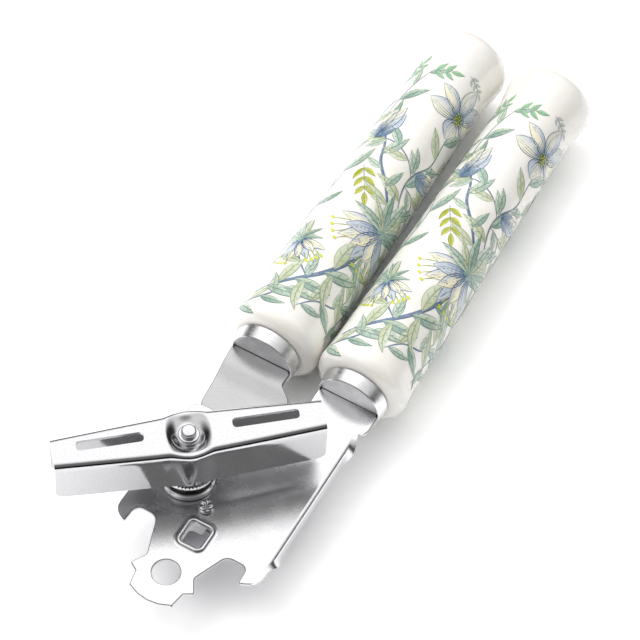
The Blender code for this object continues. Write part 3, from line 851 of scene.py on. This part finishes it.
def dome_washer():
    """The raised round seat under the button, standing on the dimple's floor."""
    low, high = KEY_BOX[1].z - DIMPLE_DEPTH - 0.1, WASHER_BOX[1].z - 0.5
    edge = [
        (2.55 + 0.45 * cos(radians(a)), high - 0.45 + 0.45 * sin(radians(a))) for a in range(0, 91, 15)]
    return lathe([(1.9, low), (3.0, low)] + edge + [(1.9, high + 0.02)], (SPINDLE.x, SPINDLE.y, 0), 64)


def crimped_rivet():
    """The cutter's rivet. Its head is crimped into four lobes with a star-shaped hollow between them."""
    centre = (RIVET_BOX[0] + RIVET_BOX[1]) / 2
    low, high = RIVET_BOX[0].z, RIVET_BOX[1].z
    head = high - CUTTER_RIVET_HEAD
    profile = [
        (0.0, low), (2.0, low), (2.3, low + 0.4), (2.3, low + 0.9), (1.5, low + 0.9), (1.5, head),
        (2.1, head), (2.2, head + 0.3), (2.1, head + 0.7), (1.8, head + 1.0), (1.5, head + 1.1),
        (1.2, head + 1.1), (0.9, head + 1.05), (0.6, head + 1.0), (0.3, head + 0.95), (0.0, head + 0.9)]
    bm = lathe(profile, (centre.x, centre.y, 0), 64)
    for vert in bm.verts:
        x, y = vert.co.x - centre.x, vert.co.y - centre.y
        r = hypot(x, y)
        if vert.co.z > head + 0.8 and r < 2.0:
            lobes = 0.5 + 0.5 * cos(RIVET_LOBES * atan2(y, x))
            vert.co.z -= 0.45 * lobes * smoothstep(0.15, 0.7, r) * (1 - smoothstep(1.45, 1.95, r))
    return bm


# ---------------------------------------------------------------- formed details of the cutter's plate

TOP_Z = 0.6
PLATE_THICKNESS = 1.2
WINDOW = (-0.9, -57.6, 6.4, 7.3)           # centre, width, length
WINDOW_CORNER = 1.3
LIP_PROFILE = [                # (distance out from the window's edge, height)
    (0.1, -0.5), (-0.12, -0.5), (-0.12, 0.7), (-0.08, 0.95), (0.06, 1.15), (0.3, 1.25), (0.55, 1.25),
    (0.8, 1.16), (0.98, 1.0), (1.1, 0.85), (1.25, 0.73), (1.5, 0.65), (1.9, 0.605), (1.9, 0.4), (0.1, 0.4)]
ROLLED_EDGE = (19.6, 21.1, -58.5, -7.5)    # x and y limits
ROLLED_DROP = 3.5
ROLLED_RADIUS = 1.3
ROLLED_RUN_OUT = 9.0
ROLLED_SLANT = 0.0019          # the plate's side moves out this much for each millimetre towards the nose


def window_lip():
    """The drawn lip round the cutter's window, rising from the plate in a fillet."""
    x, y, width, length = WINDOW
    bm = bmesh.new()
    rings = []
    for quarter in range(4):
        corner_x = x + (width / 2 - WINDOW_CORNER) * (1 if quarter in (0, 3) else -1)
        corner_y = y + (length / 2 - WINDOW_CORNER) * (1 if quarter in (0, 1) else -1)
        for step in range(9):
            a = radians(90 * quarter + 90 * step / 8)
            ring = []
            for out, z in LIP_PROFILE:
                r = WINDOW_CORNER + out
                ring.append(bm.verts.new((corner_x + r * cos(a), corner_y + r * sin(a), z)))
            rings.append(ring)
    for ring, following in zip(rings, rings[1:] + rings[:1]):
        for k in range(len(ring)):
            bm.faces.new((ring[k - 1], ring[k], following[k], following[k - 1]))
    bmesh.ops.recalc_face_normals(bm, faces=bm.faces[:])
    return bm


def box_tool(x0, x1, y0, y1, z0, z1):
    """A block between the given limits, to cut with."""
    bm = bmesh.new()
    centre = Matrix.Translation(((x0 + x1) / 2, (y0 + y1) / 2, (z0 + z1) / 2))
    size = Matrix.Diagonal((x1 - x0, y1 - y0, z1 - z0, 1.0))
    bmesh.ops.create_cube(bm, size=1.0, matrix=centre @ size)
    return bm


def rolled_edge():
    """The turned-down side of the plate. Towards its ends the fold runs out into the flat."""
    x0, x1, y0, y1 = ROLLED_EDGE
    bm = bmesh.new()
    rings = []
    count = 48
    for i in range(count + 1):
        y = y0 + (y1 - y0) * i / count
        flat = x1 + ROLLED_SLANT * (y1 - y) - ROLLED_RADIUS
        share = smoothstep(0.0, ROLLED_RUN_OUT, min(y - y0, y1 - y))
        angle = radians(90) * share
        upper, lower = [(x0, TOP_Z)], [(x0, TOP_Z - PLATE_THICKNESS)]
        for k in range(9):
            a = angle * k / 8
            inner_radius = ROLLED_RADIUS - PLATE_THICKNESS
            upper.append((flat + ROLLED_RADIUS * sin(a), TOP_Z - ROLLED_RADIUS * (1 - cos(a))))
            lower.append((flat + inner_radius * sin(a), TOP_Z - ROLLED_RADIUS + inner_radius * cos(a)))
        drop = ROLLED_RADIUS * (1 - share) + (ROLLED_DROP + PLATE_THICKNESS - ROLLED_RADIUS) * share
        along = Vector((cos(angle), -sin(angle))) * drop
        upper.append((upper[-1][0] + along.x, upper[-1][1] + along.y))
        lower.append((lower[-1][0] + along.x, lower[-1][1] + along.y))
        rings.append([bm.verts.new((x, y, z)) for x, z in upper + lower[::-1]])
    for ring, following in zip(rings, rings[1:]):
        for k in range(len(ring)):
            bm.faces.new((ring[k - 1], ring[k], following[k], following[k - 1]))
    bm.faces.new(rings[0])
    bm.faces.new(rings[-1])
    bmesh.ops.recalc_face_normals(bm, faces=bm.faces[:])
    return bm


def mark_cut_edges(plate):
    """Marks the plate's sharp edges for rounding, except round the window and along the rolled side."""
    weight = plate.edges.layers.float.new("bevel_weight_edge")
    x, y, width, length = WINDOW
    x0, x1, y0, y1 = ROLLED_EDGE
    for edge in plate.edges:
        centre = (edge.verts[0].co + edge.verts[1].co) / 2
        by_window = abs(centre.x - x) < width and abs(centre.y - y) < length
        by_roll = centre.x > x0 - 1.5 and y0 - 4.5 < centre.y < y1 + 1
        if edge.is_manifold and edge.calc_face_angle() > radians(40) and not by_window and not by_roll:
            edge[weight] = 1.0


def formed_upper_plate():
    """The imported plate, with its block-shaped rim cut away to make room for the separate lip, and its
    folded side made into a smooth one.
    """
    plate = welded_copy("upper_plate")
    x, y, width, length = WINDOW
    x0, x1, y0, y1 = ROLLED_EDGE
    above = box_tool(x - width, x + width, y - length, y + length, TOP_Z, TOP_Z + 3)
    side = box_tool(x0, x1 + 3, y0, y1, -8, 3)
    flange = box_tool(x0 - 3, x1 + 3, y0, y1, -8, TOP_Z - PLATE_THICKNESS)
    plate = combined(plate, [above, side, flange])
    plate = combined(plate, [rolled_edge()], "UNION")
    bmesh.ops.remove_doubles(plate, verts=plate.verts[:], dist=0.002)
    bmesh.ops.dissolve_limit(plate, angle_limit=radians(0.5), verts=plate.verts[:], edges=plate.edges[:])
    mark_cut_edges(plate)
    return plate


# ---------------------------------------------------------------- studio

CAMERA_AZIMUTH = radians(25.91)
CAMERA_ELEVATION = radians(55.93)
CAMERA_ROLL = radians(-4.08)
CAMERA_DISTANCE = 946.8
CAMERA_TARGET = (-6.39, 20.06, 0.0)
CAMERA_LENS = 191.25


def add_camera():
    """A long lens from above and to the right, turned a little about its own axis."""
    a, e, roll = CAMERA_AZIMUTH, CAMERA_ELEVATION, CAMERA_ROLL
    back = Vector((sin(a) * cos(e), -cos(a) * cos(e), sin(e)))
    right = (-back).cross(Vector((0, 0, 1))).normalized()
    down = (-back).cross(right)
    turned_right = cos(roll) * right + sin(roll) * down
    turned_down = -sin(roll) * right + cos(roll) * down
    data = bpy.data.cameras.new("camera")
    data.lens = CAMERA_LENS
    data.sensor_width = 36.0
    camera = bpy.data.objects.new("camera", data)
    place = in_frame(Vector(CAMERA_TARGET) + back * CAMERA_DISTANCE)
    axes = Matrix((turned_right, -turned_down, back)).transposed().to_4x4()
    camera.matrix_world = Matrix.Translation(place) @ axes
    bpy.context.scene.collection.objects.link(camera)
    bpy.context.scene.camera = camera


def add_floor():
    """A pale floor, a hair below the opener."""
    bright = (1.21, 1.21, 1.21)
    made = Shader("studio_floor", bright, 0.7)
    made.feed("Base Color", made.mix(made.ramp(made.noise(6, 2.0), 0.0, 1.0), bright, (1.18, 1.18, 1.19)))
    made.set("Specular IOR Level", 0.0)
    bm = bmesh.new()
    bmesh.ops.create_grid(bm, x_segments=4, y_segments=4, size=3.0)
    mesh = bpy.data.meshes.new("floor")
    bm.to_mesh(mesh)
    bm.free()
    mesh.materials.append(made.material)
    floor = bpy.data.objects.new("floor", mesh)
    floor.location.z = -0.0001
    bpy.context.scene.collection.objects.link(floor)


def add_light(name, place, size, power, seen_in_metal=True):
    """A soft rectangular light aimed at the opener."""
    data = bpy.data.lights.new(name, "AREA")
    data.shape = "RECTANGLE"
    data.size, data.size_y = size
    data.energy = power
    light = bpy.data.objects.new(name, data)
    light.location = place
    light.rotation_euler = (-Vector(place)).to_track_quat("-Z", "Y").to_euler()
    light.visible_glossy = seen_in_metal
    bpy.context.scene.collection.objects.link(light)


def add_world():
    """A large soft light overhead, strongest behind on the left, in a room that is dark near the horizon."""
    world = bpy.data.worlds.new("studio")
    world.use_nodes = True
    tree = world.node_tree
    place = tree.nodes.new("ShaderNodeTexCoord").outputs["Generated"]

    def towards(direction, start, end, low, high):
        """A brightness that rises from low to high as a direction nears the given one."""
        dot = tree.nodes.new("ShaderNodeVectorMath")
        dot.operation = "DOT_PRODUCT"
        dot.inputs[1].default_value = Vector(direction).normalized()
        spread = tree.nodes.new("ShaderNodeMapRange")
        spread.interpolation_type = "SMOOTHSTEP"
        for socket, value in zip(("From Min", "From Max", "To Min", "To Max"), (start, end, low, high)):
            spread.inputs[socket].default_value = value
        tree.links.new(place, dot.inputs[0])
        tree.links.new(dot.outputs["Value"], spread.inputs["Value"])
        return spread.outputs["Result"]

    def maths(operation, first, second):
        made = tree.nodes.new("ShaderNodeMath")
        made.operation = operation
        tree.links.new(first, made.inputs[0])
        tree.links.new(second, made.inputs[1])
        return made.outputs["Value"]

    overhead = towards((0, 0, 1), 0.38, 0.70, 0.03, 1.0)
    lamp = towards((-0.3, 0.5, 0.82), 0.72, 1.0, 0.0, 0.62)
    shade = towards((0.55, -0.52, 0.60), 0.60, 0.93, 1.0, 0.2)
    strength = maths("MULTIPLY", maths("ADD", overhead, lamp), shade)
    tree.links.new(strength, tree.nodes["Background"].inputs["Strength"])
    tree.nodes["Background"].inputs["Color"].default_value = (1.0, 1.0, 1.0, 1.0)
    bpy.context.scene.world = world


def add_studio():
    add_camera()
    add_floor()
    add_world()
    add_light("key_light", (-0.68, 0.13, 0.85), (0.9, 0.9), 5.0, False)
    add_light("left_fill", (-1.05, 0.0, 0.7), (1.2, 0.6), 3.0, False)
    add_light("right_fill", (1.05, 0.1, 0.7), (1.2, 0.6), 1.6, False)
    add_light("front_fill", (0.1, -1.05, 0.7), (1.2, 0.6), 3.8, False)
    add_light("back_fill", (0.0, 1.05, 0.7), (1.2, 0.6), 1.6, False)
    bpy.context.scene.view_settings.view_transform = "Standard"


# ---------------------------------------------------------------- assembly

def build():
    plate = steel("nickel_plated_sheet", (0.78, 0.78, 0.79), 0.27, 0.03, 0.3, 0.1)
    # The lower plate's copy of the plate finish: a little rougher, and darker in colour as painted shade for
    # its greyer look beside the ferrule.
    dull_plate_painted_shade = steel("dull_nickel_sheet_painted_shade", (0.50, 0.50, 0.505), 0.33, 0.03, 0.3, 0.1)
    # Finish for the plates' rounded edges: bare sheared steel, made near black as painted shade for the dark
    # outline along the plate edges.
    sheared_painted_shade = steel("sheared_edge_painted_shade", (0.16, 0.16, 0.165), 0.45, 0.05, 0.3, 0.1)
    bright = steel("bright_nickel", (0.64, 0.64, 0.65), 0.12, 0.02, 0.12, 0.03)
    dark = steel("hardened_steel", (0.30, 0.30, 0.32), 0.26, 0.08, 0.4, 0.1)
    satin = turned_steel("satin_ferrule", (0.92, 0.92, 0.93))
    white = glaze("glazed_white")
    printed = ink("printed_botanical")
    core = Shader("core_plastic", srgb(214, 210, 200), 0.5)
    core.feed("Roughness", core.ramp(core.noise(200), 0.42, 0.6))

    sheet = Sheet(11)
    draw_pattern(sheet)
    for prefix, side, body in (("right", HANDLE_X, "upper_arm"), ("left", -HANDLE_X, "lower_arm")):
        outer = [(p.y, p.x) for p in HANDLE_CURVE[:-1]] + [(0.0, HANDLE_PROFILE[-1][0])]
        shell = lathe(HANDLE_BORE + outer, (side, 0, 0), 160, True)
        add_piece(prefix + "_handle_glazed", shell, white, body, [prefix + "_handle"])
        add_piece(prefix + "_handle_print", printed_pattern(sheet, side), printed, body)
        refined(prefix + "_ferrule", satin, body, 0.15, 2, 30.0)
        frame["nodes"][prefix + "_handle_core"].data.materials.clear()
        frame["nodes"][prefix + "_handle_core"].data.materials.append(core.material)

    formed = add_piece(
        "formed_plate", formed_upper_plate(), plate, "upper_arm", ["upper_plate"])
    # Its rounded edges take the near-black edge finish, painted shade for a dark outline.
    bevelled(formed, 0.2, 3, edge_finish=sheared_painted_shade, marked=True)
    add_piece("window_lip", window_lip(), plate, "upper_arm")
    # The lower plate: the darker copy of the plate finish is painted shade, and its edges take the
    # near-black painted-shade edge finish.
    refined("lower_plate", dull_plate_painted_shade, "lower_arm", 0.2, 3, edge_finish=sheared_painted_shade)
    refined("cutter_blade", dark, "upper_arm", 0.15)
    refined("bush_lock_ring", dark, "lower_arm", 0.15)
    refined("feed_wheel", dark, "key", 0.12)
    refined("wheel_washer", bright, "key", 0.12)
    refined("spindle_nut", bright, "key", 0.2)
    add_piece("cutter_rivet_head", crimped_rivet(), bright, "upper_arm", ["cutter_rivet"])
    add_piece("collar", collar_and_bush(), bright, "lower_arm", ["eccentric_bush"])
    add_piece("serrated_washer", serrated_washer(), dark, "key", ["toothed_washer"])
    add_piece("peened_spindle", spindle(), bright, "key", ["key_spindle"])
    add_piece("dome_washer", dome_washer(), bright, "key", ["key_washer"])
    shell = combined(key_shell(), [key_cutter(1), key_cutter(-1), hub_cutter()])
    bevelled(add_piece("folded_key", shell, bright, "key", ["turning_key"]), 0.1, 2, 50.0)
    add_studio()


build()
